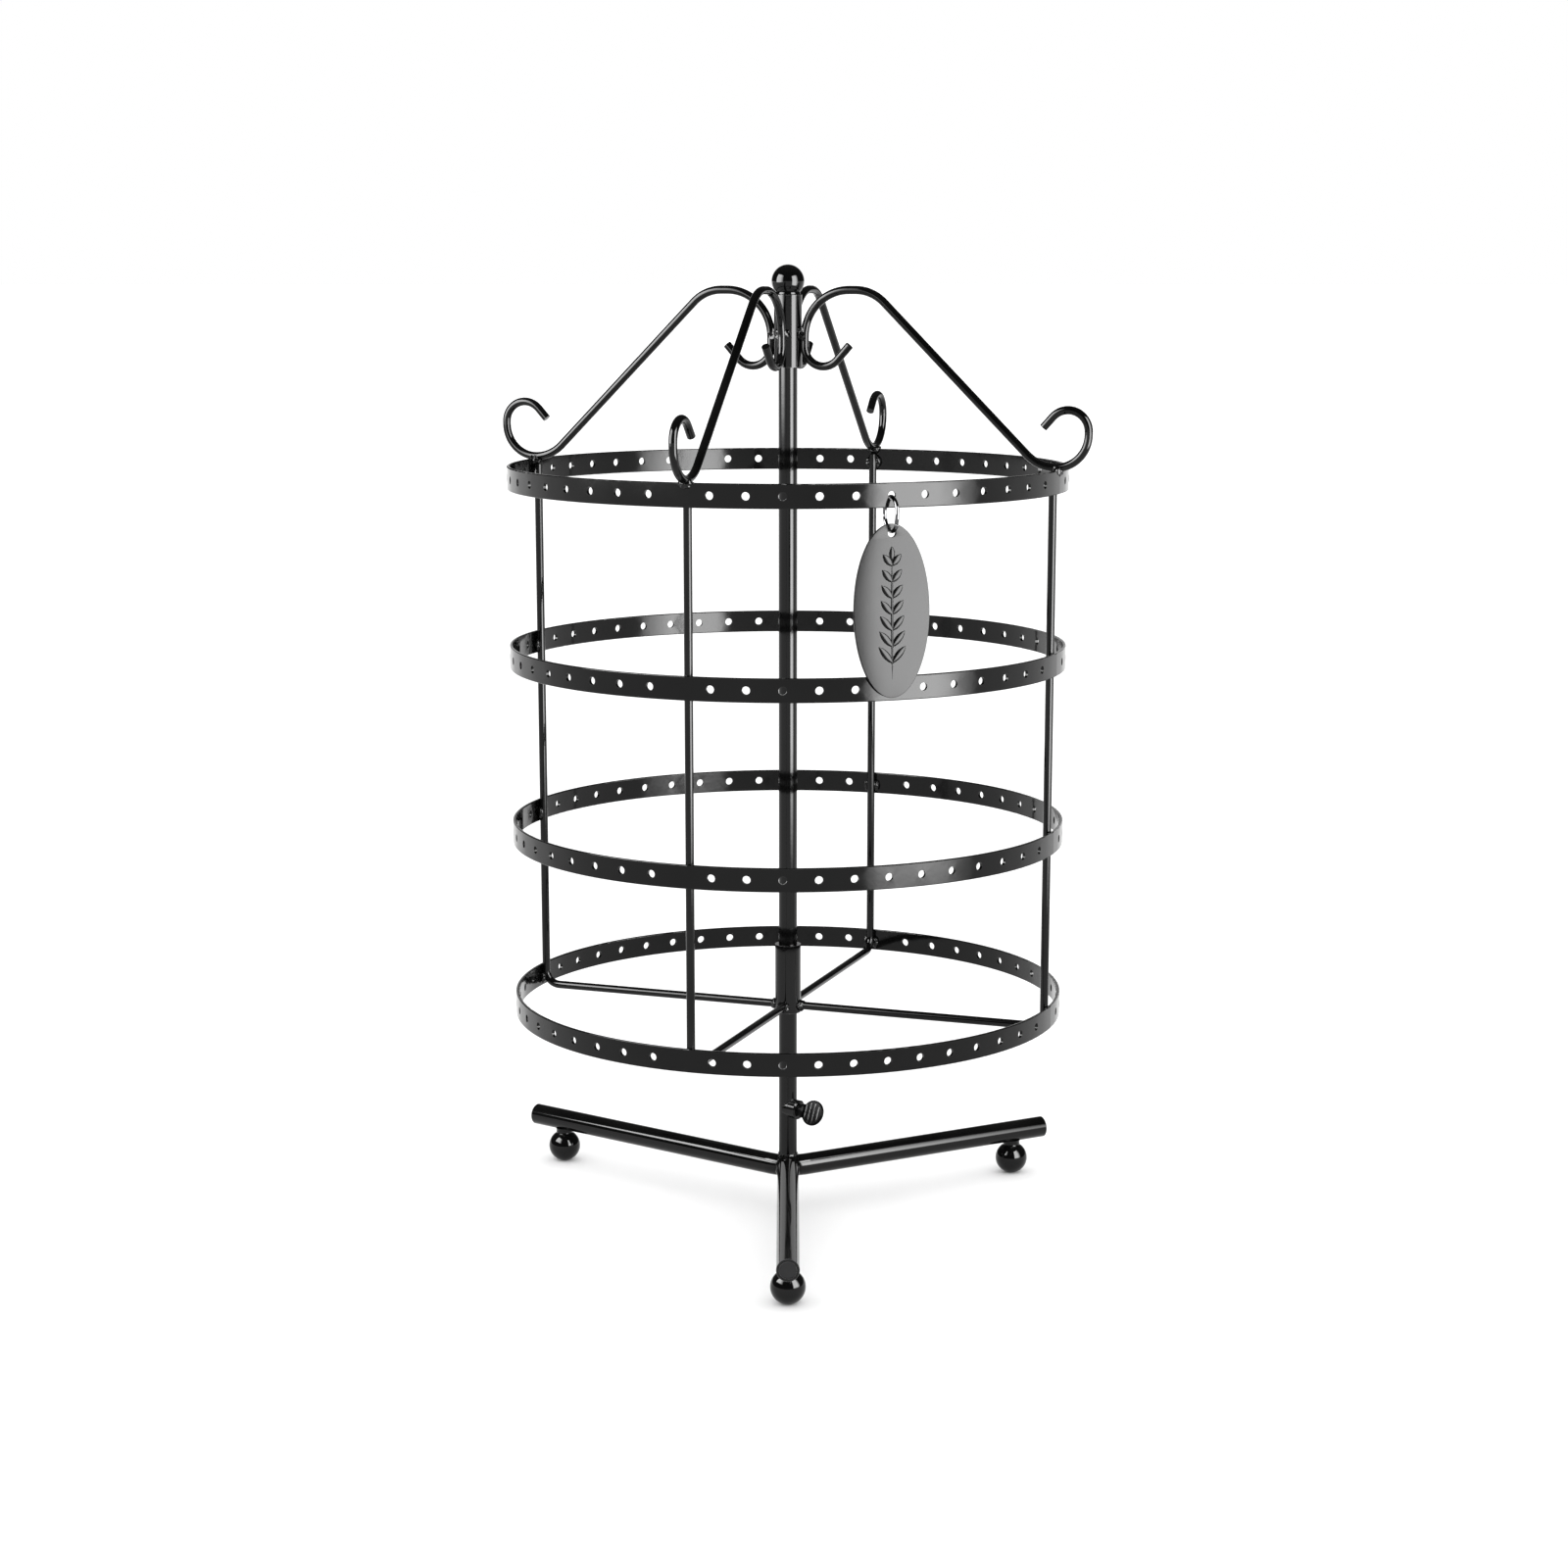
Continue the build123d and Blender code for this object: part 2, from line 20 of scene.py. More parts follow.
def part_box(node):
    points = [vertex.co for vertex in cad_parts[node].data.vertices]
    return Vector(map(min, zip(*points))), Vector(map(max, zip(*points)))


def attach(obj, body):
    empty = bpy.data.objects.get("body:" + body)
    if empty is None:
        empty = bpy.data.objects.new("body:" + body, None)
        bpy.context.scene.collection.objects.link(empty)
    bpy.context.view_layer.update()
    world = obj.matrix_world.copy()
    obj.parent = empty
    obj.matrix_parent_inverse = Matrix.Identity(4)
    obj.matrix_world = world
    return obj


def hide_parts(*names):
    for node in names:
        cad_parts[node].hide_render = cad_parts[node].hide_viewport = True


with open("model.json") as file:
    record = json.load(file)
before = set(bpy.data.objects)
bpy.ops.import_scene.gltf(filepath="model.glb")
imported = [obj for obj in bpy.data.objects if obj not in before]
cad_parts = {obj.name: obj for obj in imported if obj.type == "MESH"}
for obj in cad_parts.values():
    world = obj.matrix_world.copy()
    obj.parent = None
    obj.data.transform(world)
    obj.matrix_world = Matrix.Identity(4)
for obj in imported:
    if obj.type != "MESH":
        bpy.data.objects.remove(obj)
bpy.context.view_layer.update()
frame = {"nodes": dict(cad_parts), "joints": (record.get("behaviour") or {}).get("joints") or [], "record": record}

log = logging.getLogger("display_rack")

MM = 0.001
NODES = frame["nodes"]
MOUNTS = {mount["name"]: Vector(mount["pos_m"]) for mount in frame["record"]["mounts"]}
JOINTS = {joint["name"]: joint for joint in frame["joints"]}
LEAST_RADIUS = 0.001 * MM        # a lathe's axis is closed by a point this small


class Body(Enum):
    """Rigid bodies of the frame that a piece can ride on."""

    BASE = "base"
    POLE = "pole"
    SCREW = "thumb_screw"
    CAGE = "cage"
    RING = "jump_ring"
    TAG = "tag"


class Slot(Enum):
    """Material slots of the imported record."""

    ENAMEL = "black_enamel"
    PLASTIC = "black_plastic"
    NYLON = "nylon"
    STEEL = "bright_steel"
    CHROME = "chrome_wire"
    TAG = "tag_face"


class Effect(Enum):
    """Surface effects that several finishes share, each one a node group."""

    PAINT_SKIN = "paint_skin"
    EDGE_WEAR = "edge_wear"
    SETTLED_DUST = "settled_dust"
    DRAWN_GRAIN = "drawn_grain"


# ------------------------------------------------------------------ shader wiring
class Wiring:
    """Adds nodes to one node tree and joins them."""

    def __init__(self, tree: bpy.types.NodeTree) -> None:
        """Starts wiring a tree.

        Args:
            tree: The node tree to add to.
        """
        self.tree = tree
        self.count = 0

    def add(self, kind: str, values: dict | None = None, **settings: object) -> bpy.types.Node:
        """Adds one node.

        Args:
            kind: Blender's name for the node type.
            values: Input socket names or numbers, each with a value or a socket to link.
            **settings: Attributes of the node itself.

        Returns:
            The new node.
        """
        node = self.tree.nodes.new(kind)
        node.location = (200 * (self.count % 8), -220 * (self.count // 8))
        self.count += 1
        for name, value in settings.items():
            setattr(node, name, value)
        for name, value in (values or {}).items():
            self.feed(node.inputs[name], value)
        return node

    def feed(self, socket: bpy.types.NodeSocket, value: object) -> None:
        """Sets an input socket to a value, or links another socket into it.

        Args:
            socket: The input.
            value: A number, a colour or an output socket.
        """
        if isinstance(value, bpy.types.NodeSocket):
            self.tree.links.new(value, socket)
        else:
            socket.default_value = value

    def maths(self, operation: str, first: object, second: object,
              third: object = 0.0) -> bpy.types.NodeSocket:
        """One Math node.

        Args:
            operation: The sum to do, as Blender names it.
            first: A number or a socket.
            second: A number or a socket.
            third: What MULTIPLY_ADD adds, a number or a socket.

        Returns:
            The result's socket.
        """
        return self.add("ShaderNodeMath", {0: first, 1: second, 2: third}, operation=operation).outputs[0]

    def spread(self, value: object, low: float, high: float, to_low: float, to_high: float) -> object:
        """Maps a stretch of one value onto another, with its ends held.

        Args:
            value: The socket to read.
            low: Where the stretch starts.
            high: Where it ends.
            to_low: What the start becomes.
            to_high: What the end becomes.

        Returns:
            The output socket.
        """
        spots = {"Value": value, "From Min": low, "From Max": high, "To Min": to_low, "To Max": to_high}
        return self.add("ShaderNodeMapRange", spots).outputs["Result"]

    def blend(self, share: object, first: object, second: object) -> bpy.types.NodeSocket:
        """Mixes two colours.

        Args:
            share: How much of the second colour, from 0 to 1.
            first: A colour or a socket.
            second: A colour or a socket.

        Returns:
            The mixed colour's socket.
        """
        node = self.add("ShaderNodeMix", data_type="RGBA")
        colours = [socket for socket in node.inputs if socket.type == "RGBA"]
        self.feed(node.inputs[0], share)
        self.feed(colours[0], first)
        self.feed(colours[1], second)
        return next(socket for socket in node.outputs if socket.type == "RGBA")

    def place(self) -> bpy.types.NodeSocket:
        """Where a point is on its own object, in metres."""
        return self.add("ShaderNodeTexCoord").outputs["Object"]

    def noise(self, scale: object, detail: float = 2.0, at: object = None) -> bpy.types.NodeSocket:
        """Solid noise over the object, from 0 to 1.

        Args:
            scale: Lumps in a metre.
            detail: Octaves of finer noise.
            at: Coordinates to read it at, the object's own if left out.

        Returns:
            The noise value's socket.
        """
        spots = {"Vector": at or self.place(), "Scale": scale, "Detail": detail}
        return self.add("ShaderNodeTexNoise", spots).outputs[0]


def grey(level: float) -> tuple[float, float, float, float]:
    """A neutral colour."""
    return (level, level, level, 1.0)


class Effects:
    """Builds each shared effect's node group once, when a finish first asks for it."""

    @classmethod
    def group(cls, effect: Effect) -> bpy.types.NodeTree:
        """The node group of an effect.

        Args:
            effect: Which one.

        Returns:
            Its node tree, built if it isn't there yet.
        """
        tree = bpy.data.node_groups.get(effect.value)
        if tree is None:
            tree = bpy.data.node_groups.new(effect.value, "ShaderNodeTree")
            getattr(cls, effect.value)(tree)
        return tree

    @staticmethod
    def sockets(tree: bpy.types.NodeTree, inputs: dict[str, float],
                outputs: Sequence[str]) -> tuple[Wiring, bpy.types.NodeOutputs, bpy.types.NodeInputs]:
        """Gives a group its sockets.

        Args:
            tree: The group.
            inputs: Name and starting value of each input.
            outputs: Name of each output.

        Returns:
            The group's wiring, the sockets that bring its inputs and those that take its outputs.
        """
        for name, value in inputs.items():
            socket = tree.interface.new_socket(name=name, in_out="INPUT", socket_type="NodeSocketFloat")
            socket.default_value = value
        for name in outputs:
            tree.interface.new_socket(name=name, in_out="OUTPUT", socket_type="NodeSocketFloat")
        wiring = Wiring(tree)
        source = wiring.add("NodeGroupInput")
        sink = wiring.add("NodeGroupOutput")
        return wiring, source.outputs, sink.inputs

    @classmethod
    def paint_skin(cls, tree: bpy.types.NodeTree) -> None:
        """Orange peel of sprayed enamel, with slow sags, fine nibs and a patchy tone.

        Args:
            tree: The empty group.
        """
        wiring, ask, give = cls.sockets(tree, {"Peel": 700.0, "Nibs": 0.2, "Sag": 0.5}, ("Height", "Tone"))
        peel = wiring.noise(ask["Peel"], 1.0)
        sag = wiring.noise(wiring.maths("MULTIPLY", ask["Peel"], 0.16), 1.0)
        fine = wiring.noise(wiring.maths("MULTIPLY", ask["Peel"], 5.0), 0.0)
        nibs = wiring.spread(fine, 0.72, 0.82, 0.0, 1.0)
        height = wiring.maths("MULTIPLY_ADD", sag, ask["Sag"], peel)
        tone = wiring.noise(wiring.maths("MULTIPLY", ask["Peel"], 0.05), 3.0)
        wiring.feed(give["Height"], wiring.maths("MULTIPLY_ADD", nibs, ask["Nibs"], height))
        wiring.feed(give["Tone"], wiring.spread(tone, 0.3, 0.7, 0.0, 1.0))

    @classmethod
    def edge_wear(cls, tree: bpy.types.NodeTree) -> None:
        """Where paint pulls thin over an edge, broken up along its length.

        Args:
            tree: The empty group.
        """
        wiring, ask, give = cls.sockets(tree, {"Radius": 0.0003, "Amount": 1.0}, ("Mask",))
        rounded = wiring.add("ShaderNodeBevel", {"Radius": ask["Radius"]}, samples=4)
        true = wiring.add("ShaderNodeNewGeometry").outputs["Normal"]
        facing = wiring.add("ShaderNodeVectorMath", {0: rounded.outputs[0], 1: true}, operation="DOT_PRODUCT")
        edge = wiring.spread(facing.outputs["Value"], 0.985, 0.9, 0.0, 1.0)
        broken = wiring.spread(wiring.noise(420.0, 4.0), 0.35, 0.65, 0.25, 1.0)
        worn = wiring.maths("MULTIPLY", wiring.maths("MULTIPLY", edge, broken), ask["Amount"])
        wiring.feed(give["Mask"], worn)

    @classmethod
    def settled_dust(cls, tree: bpy.types.NodeTree) -> None:
        """Thin dust and lint on what faces up.

        Args:
            tree: The empty group.
        """
        wiring, ask, give = cls.sockets(tree, {"Amount": 0.2, "Scale": 1800.0}, ("Mask",))
        normal = wiring.add("ShaderNodeNewGeometry").outputs["Normal"]
        up = wiring.add("ShaderNodeSeparateXYZ", {0: normal}).outputs["Z"]
        film = wiring.spread(wiring.noise(90.0, 3.0), 0.35, 0.7, 0.15, 0.6)
        specks = wiring.spread(wiring.noise(ask["Scale"], 0.0), 0.7, 0.76, 0.0, 1.0)
        cover = wiring.maths("MAXIMUM", film, specks)
        facing = wiring.spread(up, 0.45, 0.95, 0.0, 1.0)
        mask = wiring.maths("MULTIPLY", wiring.maths("MULTIPLY", cover, facing), ask["Amount"])
        wiring.feed(give["Mask"], mask)

    @classmethod
    def drawn_grain(cls, tree: bpy.types.NodeTree) -> None:
        """Fine lines along a drawn or brushed surface, stretched along Z.

        Args:
            tree: The empty group.
        """
        wiring, ask, give = cls.sockets(tree, {"Lines": 4000.0, "Stretch": 0.02}, ("Height", "Tone"))
        sizes = wiring.add("ShaderNodeCombineXYZ", {"X": 1.0, "Y": 1.0, "Z": ask["Stretch"]}).outputs[0]
        drawn = wiring.add("ShaderNodeVectorMath", {0: wiring.place(), 1: sizes}, operation="MULTIPLY")
        lines = wiring.noise(ask["Lines"], 3.0, drawn.outputs[0])
        wiring.feed(give["Height"], lines)
        wiring.feed(give["Tone"], wiring.spread(lines, 0.3, 0.7, 0.0, 1.0))


# ----------------------------------------------------------------------- finishes
@dataclass(frozen=True)
class Finish:
    """What every finish has: a name and the record's slot that it paints."""

    name: str
    slot: Slot = Slot.ENAMEL

    def material(self) -> bpy.types.Material:
        """The finish's material, built the first time that it is asked for.

        Returns:
            The material.
        """
        found = bpy.data.materials.get(self.name)
        if found is not None:
            return found
        material = bpy.data.materials.new(self.name)
        material.use_nodes = True
        material.node_tree.nodes.clear()
        wiring = Wiring(material.node_tree)
        shader = wiring.add("ShaderNodeBsdfPrincipled")
        wiring.add("ShaderNodeOutputMaterial", {"Surface": shader.outputs[0]})
        self.dress(wiring, shader)
        return material

    def dress(self, wiring: Wiring, shader: bpy.types.Node) -> None:
        """Feeds the finish's pattern into its shader."""
        raise NotImplementedError

    @staticmethod
    def effect(wiring: Wiring, effect: Effect, **values: float) -> bpy.types.NodeOutputs:
        """Puts a shared effect in a material.

        Args:
            wiring: The material's wiring.
            effect: Which effect.
            **values: The group's input values by name.

        Returns:
            The group's outputs.
        """
        node = wiring.add("ShaderNodeGroup", node_tree=Effects.group(effect))
        for name, value in values.items():
            node.inputs[name].default_value = value
        return node.outputs

    @staticmethod
    def bump(wiring: Wiring, shader: bpy.types.Node, height: object, depth: float) -> None:
        """Roughens a shader's normal by a height.

        Args:
            wiring: The material's wiring.
            shader: The Principled shader.
            height: Socket of the height, from 0 to about 1.
            depth: Metres from the lowest to the highest point.
        """
        bump = wiring.add("ShaderNodeBump", {"Height": height, "Strength": 1.0, "Distance": depth})
        wiring.feed(shader.inputs["Normal"], bump.outputs[0])


@dataclass(frozen=True)
class Enamel(Finish):
    """Gloss black stoving enamel over steel."""

    deep: float = 0.0012
    lean: float = 0.0038
    edge: float = 0.05
    roughness: float = 0.07
    ior: float = 1.3
    peel: float = 620.0
    depth: float = 0.006 * MM
    nibs: float = 0.15
    sag: float = 0.8
    wear: float = 0.5
    wear_radius: float = 0.25 * MM
    dust: float = 0.12

    def dress(self, wiring: Wiring, shader: bpy.types.Node) -> None:
        """Enamel's tone, gloss and skin.

        Args:
            wiring: The material's wiring.
            shader: The Principled shader.
        """
        skin = self.effect(wiring, Effect.PAINT_SKIN, Peel=self.peel, Nibs=self.nibs, Sag=self.sag)
        wear = self.effect(wiring, Effect.EDGE_WEAR, Radius=self.wear_radius, Amount=self.wear)["Mask"]
        dust = self.effect(wiring, Effect.SETTLED_DUST, Amount=self.dust)["Mask"]
        body = wiring.blend(skin["Tone"], grey(self.deep), grey(self.lean))
        edged = wiring.blend(wear, body, grey(self.edge))
        dusty = wiring.blend(wiring.maths("MULTIPLY", dust, 0.12), edged, (0.32, 0.31, 0.29, 1.0))
        gloss = wiring.spread(skin["Tone"], 0.0, 1.0, self.roughness * 0.8, self.roughness * 1.3)
        worn = wiring.maths("MULTIPLY_ADD", wear, 0.12, gloss)
        wiring.feed(shader.inputs["Base Color"], dusty)
        wiring.feed(shader.inputs["Roughness"], wiring.maths("MULTIPLY_ADD", dust, 0.35, worn))
        shader.inputs["IOR"].default_value = self.ior
        self.bump(wiring, shader, skin["Height"], self.depth)


@dataclass(frozen=True)
class MouldedPlastic(Finish):
    """Injection-moulded plastic with a fine spark-eroded grain."""

    tone: tuple[float, float, float] = (0.005, 0.005, 0.0055)
    roughness: float = 0.38
    ior: float = 1.38
    grain: float = 5200.0
    depth: float = 0.01 * MM

    def dress(self, wiring: Wiring, shader: bpy.types.Node) -> None:
        """Plastic's tone, sheen and grain.

        Args:
            wiring: The material's wiring.
            shader: The Principled shader.
        """
        skin = self.effect(wiring, Effect.PAINT_SKIN, Peel=self.grain, Nibs=0.5, Sag=0.3)
        dust = self.effect(wiring, Effect.SETTLED_DUST, Amount=0.15)["Mask"]
        light = tuple(min(1.0, 1.25 * part) for part in self.tone)
        body = wiring.blend(skin["Tone"], (*self.tone, 1.0), (*light, 1.0))
        wiring.feed(shader.inputs["Base Color"], wiring.blend(dust, body, (0.3, 0.3, 0.29, 1.0)))
        spread = wiring.spread(skin["Height"], 0.4, 1.2, self.roughness * 0.8, self.roughness * 1.2)
        wiring.feed(shader.inputs["Roughness"], spread)
        shader.inputs["IOR"].default_value = self.ior
        self.bump(wiring, shader, skin["Height"], self.depth)


@dataclass(frozen=True)
class BareMetal(Finish):
    """Bare or plated metal with drawing lines."""

    tone: tuple[float, float, float] = (0.55, 0.55, 0.56)
    shade: tuple[float, float, float] = (0.33, 0.33, 0.34)
    roughness: float = 0.24
    lines: float = 5200.0
    stretch: float = 0.02
    depth: float = 0.004 * MM
    wear: float = 0.2

    def dress(self, wiring: Wiring, shader: bpy.types.Node) -> None:
        """Metal's tone, gloss and drawing lines.

        Args:
            wiring: The material's wiring.
            shader: The Principled shader.
        """
        grain = self.effect(wiring, Effect.DRAWN_GRAIN, Lines=self.lines, Stretch=self.stretch)
        wear = self.effect(wiring, Effect.EDGE_WEAR, Radius=0.0002, Amount=self.wear)["Mask"]
        handled = wiring.spread(wiring.noise(240.0, 3.0), 0.35, 0.7, 0.0, 1.0)
        body = wiring.blend(grain["Tone"], (*self.shade, 1.0), (*self.tone, 1.0))
        wiring.feed(shader.inputs["Base Color"], wiring.blend(wear, body, (0.8, 0.8, 0.8, 1.0)))
        gloss = wiring.spread(handled, 0.0, 1.0, self.roughness * 0.7, self.roughness * 1.5)
        wiring.feed(shader.inputs["Roughness"], gloss)
        shader.inputs["Metallic"].default_value = 1.0
        self.bump(wiring, shader, grain["Height"], self.depth)


TUBE_ENAMEL = Enamel("enamel_on_tube", roughness=0.055, peel=560.0, depth=0.005 * MM, sag=1.0, wear=1.0,
                     edge=0.2)
ROD_ENAMEL = Enamel("enamel_on_rod", ior=1.28, roughness=0.05, peel=820.0, depth=0.004 * MM, sag=0.6,
                    wear=0.7)
BAND_ENAMEL = Enamel("enamel_on_band", ior=1.25, roughness=0.09, peel=460.0, depth=0.008 * MM, wear=0.8,
                     dust=0.2)
BALL_ENAMEL = Enamel("enamel_on_ball", roughness=0.045, peel=380.0, depth=0.003 * MM, nibs=0.05, wear=0.2)
WELD_ENAMEL = Enamel("enamel_on_weld", roughness=0.08, peel=1500.0, depth=0.022 * MM, nibs=0.6, wear=0.1)
CAST_ENAMEL = Enamel("enamel_on_casting", roughness=0.1, peel=1300.0, depth=0.01 * MM, nibs=0.4, wear=1.0)
THUMB_ENAMEL = Enamel("enamel_on_thumb_piece", ior=1.1, roughness=0.2, peel=1300.0, nibs=0.4, wear=0.3)
RUBBED_RIB = Enamel("enamel_rubbed_bright", ior=1.4, roughness=0.1, peel=1300.0, nibs=0.2, wear=0.5)
TAG_ENAMEL = Enamel("enamel_on_tag", Slot.TAG, ior=1.23, roughness=0.17, peel=980.0, depth=0.004 * MM,
                    wear=0.6)
PLUG_PLASTIC = MouldedPlastic("plug_plastic", Slot.PLASTIC)
PIVOT_NYLON = MouldedPlastic("pivot_nylon", Slot.NYLON, tone=(0.68, 0.66, 0.58), roughness=0.35)
BRIGHT_STEEL = BareMetal("bright_drawn_steel", Slot.STEEL)
CHROME_WIRE = BareMetal("chrome_plated_wire", Slot.CHROME, tone=(0.12, 0.12, 0.122),
                        shade=(0.07, 0.07, 0.072), roughness=0.07, depth=0.001 * MM)


# ----------------------------------------------------------------- making of pieces
class Piece:
    """One mesh under construction, in the rack's frame."""

    def __init__(self) -> None:
        """Starts an empty mesh."""
        self.mesh = bmesh.new()

    def skin(self, rings: Sequence[Sequence[Vector]]) -> None:
        """Joins rings of points with faces and fills the two end rings.

        Args:
            rings: Rings with the same number of points each, in order.
        """
        made = [[self.mesh.verts.new(point) for point in ring] for ring in rings]
        count = len(made[0])
        for low, high in zip(made, made[1:]):
            for k in range(count):
                after = (k + 1) % count
                self.mesh.faces.new((low[k], low[after], high[after], high[k]))
        self.mesh.faces.new(list(reversed(made[0])))
        self.mesh.faces.new(made[-1])

    def lathe(self, profile: Sequence[tuple[float, float]], place: Matrix, segments: int = 96,
              swell: Callable[[float, float], float] | None = None) -> None:
        """Turns a profile about a place's Z axis.

        Args:
            profile: Radius and height of each point, from the low end up.
            place: Where the axis stands.
            segments: Faces round it.
            swell: Extra radius at an angle and a height, for a surface that isn't true.
        """
        rings = []
        for radius, height in profile:
            ring = []
            for angle in turns(segments):
                reach = max(radius, LEAST_RADIUS) + (swell(angle, height) if swell else 0.0)
                ring.append(place @ Vector((reach * cos(angle), reach * sin(angle), height)))
            rings.append(ring)
        self.skin(rings)

    def lump(self, centre: Vector, radii: Vector, turn: Matrix, seed: int, rough: float = 0.16) -> None:
        """Adds a lump of weld metal.

        Args:
            centre: Its middle.
            radii: Half sizes along its own axes.
            turn: Direction of those axes.
            seed: Picks its shape.
            rough: How uneven it is, as a share of its size.
        """
        made = bmesh.ops.create_icosphere(self.mesh, subdivisions=4, radius=1.0)
        away = Vector((seed * 3.7, seed * 1.3, seed * 2.9))
        for vert in made["verts"]:
            way = vert.co.normalized()
            ripple = 0.05 * sin(9.0 * way.z + seed)
            uneven = noise.fractal(way * 1.6 + away, 1.0, 2.0, 3)
            size = 1.0 + rough * uneven + ripple
            local = Vector(way[k] * radii[k] * size for k in range(3))
            vert.co = centre + turn @ local

    def finish(self, name: str, sharp: float = 40.0) -> bpy.types.Object:
        """Turns the mesh into an object.

        Args:
            name: The piece's name.
            sharp: Edges that turn by more degrees than this are kept crisp.

        Returns:
            The new object, linked to the scene.
        """
        bmesh.ops.recalc_face_normals(self.mesh, faces=self.mesh.faces)
        data = bpy.data.meshes.new(name)
        self.mesh.to_mesh(data)
        self.mesh.free()
        data.shade_smooth()
        data.set_sharp_from_angle(angle=radians(sharp))
        piece = bpy.data.objects.new(name, data)
        bpy.context.scene.collection.objects.link(piece)
        return piece


def settle(piece: bpy.types.Object, finish: Finish, body: Body, *stands_for: str) -> bpy.types.Object:
    """Paints a finished piece and hands it to the frame.

    Args:
        piece: The piece, in place.
        finish: Its finish.
        body: The body that it rides on.
        *stands_for: CAD nodes that it replaces.

    Returns:
        The same piece.
    """
    piece.data.materials.clear()
    piece.data.materials.append(finish.material())
    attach(piece, body.value)
    if stands_for:
        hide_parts(*stands_for)
    log.info("%s: %d faces, rides on %s", piece.name, len(piece.data.polygons), body.value)
    return piece


def paint(finish: Finish, nodes: Iterable[str]) -> None:
    """Gives CAD nodes that keep their shape a finish.

    Args:
        finish: The finish.
        nodes: Names of the nodes.
    """
    for name in nodes:
        for slot in NODES[name].material_slots:
            slot.material = finish.material()
        log.info("%s: painted %s", name, finish.name)


def middle(node: str) -> Vector:
    """Centre of a CAD node's box."""
    low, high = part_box(node)
    return (low + high) / 2


def turns(count: int) -> list[float]:
    """Evenly spaced angles round a full turn, in radians."""
    return [tau * k / count for k in range(count)]


def arc(radius: float, start: float, end: float, steps: int,
        height: float = 0.0) -> list[tuple[float, float]]:
    """Part of a circle centred on the axis, as a lathe profile.

    Args:
        radius: The circle's radius.
        start: First angle above the horizontal, in radians.
        end: Last angle.
        steps: How many points.
        height: Height of the centre.

    Returns:
        Radius and height of each point.
    """
    angles = [start + (end - start) * k / (steps - 1) for k in range(steps)]
    return [(radius * cos(angle), height + radius * sin(angle)) for angle in angles]


# ----------------------------------------------------------------------- assemblies
@dataclass
class TripodBase:
    """Bent-tube legs on three turned balls, and what the pole stands on."""

    ball_r: float = 5.8 * MM
    flat_r: float = 1.7 * MM
    neck_r: float = 3.0 * MM
    neck_fillet: float = 1.12
    neck_rise: float = 0.7 * MM
    arc_share: float = 0.985
    seat_land: float = 0.25 * MM
    seat_rough: float = 0.22 * MM
    weld_reach: float = 2.4 * MM
    weld_radii: tuple[float, float, float] = (4.6 * MM, 4.4 * MM, 4.3 * MM)

    def build(self) -> None:
        """Makes and dresses the whole base."""
        paint(TUBE_ENAMEL, ("rear_leg_tube", "front_leg_tube"))
        paint(PLUG_PLASTIC, ("leg_end_plugs",))
        paint(BRIGHT_STEEL, ("foot_studs", "spigot_rod"))
        self.feet()
        self.seat()
        self.leg_weld()

    def feet(self) -> None:
        """Three turned balls, each with its flat, its neck and a fillet of enamel."""
        centre = sqrt(self.ball_r ** 2 - self.flat_r ** 2)
        leg_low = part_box("rear_leg_tube")[0].z
        leave = asin(sqrt(1 - (self.neck_fillet * self.neck_r / self.ball_r) ** 2))
        profile = [(0.0, 0.0), (self.flat_r * 0.5, 0.0), (self.flat_r * 0.94, 0.0)]
        profile += arc(self.ball_r, -asin(centre / self.ball_r) * self.arc_share, leave, 56, centre)
        crown = centre + self.ball_r * sin(leave)
        profile += [(self.neck_r * 1.03, crown + 0.12 * MM), (self.neck_r, crown + 0.3 * MM)]
        profile += [(self.neck_r, leg_low + 0.1 * MM), (self.neck_r * 1.06, leg_low + self.neck_rise)]
        piece = Piece()
        for side in ("right", "left", "front"):
            piece.lathe(profile, Matrix.Translation(MOUNTS[f"foot_rest_{side}"]))
        settle(piece.finish("foot_balls_turned"), BALL_ENAMEL, Body.BASE, "foot_balls")

    def seat(self) -> None:
        """Ring of weld that the pole stands on."""
        low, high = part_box("pole_seat_weld")
        wide = (high.x - low.x) / 2
        pole_low, pole_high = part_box("pole_tube")
        top = (pole_high.x - pole_low.x) / 2 + self.seat_land
        steps = 10
        profile = []
        for k in range(steps):
            share = k / (steps - 1)
            profile.append((wide + (top - wide) * share ** 0.7, low.z + (high.z - low.z) * share))
        profile.append((top * 0.8, high.z))

        def swell(angle: float, height: float) -> float:
            """Unevenness of the bead, which dies out at its top.

            Args:
                angle: Where round the bead, in radians.
                height: Height above the table.

            Returns:
                Extra radius.
            """
            spot = Vector((cos(angle), sin(angle), height * 300))
            rise = min(1.0, (high.z - height) / (high.z - low.z) * 3.0)
            return self.seat_rough * rise * (noise.noise(spot * 3.0) + 0.4 * sin(11 * angle))

        piece = Piece()
        piece.lathe(profile, Matrix.Identity(4), 120, swell)
        settle(piece.finish("pole_seat_bead"), WELD_ENAMEL, Body.BASE, "pole_seat_weld")

    def leg_weld(self) -> None:
        """Weld in the fork between the front leg and the bend."""
        piece = Piece()
        at = Vector((0, -self.weld_reach, middle("front_leg_tube").z))
        piece.lump(at, Vector(self.weld_radii), Matrix.Identity(3), 5, 0.08)
        settle(piece.finish("leg_fork_weld"), WELD_ENAMEL, Body.BASE, "leg_weld")


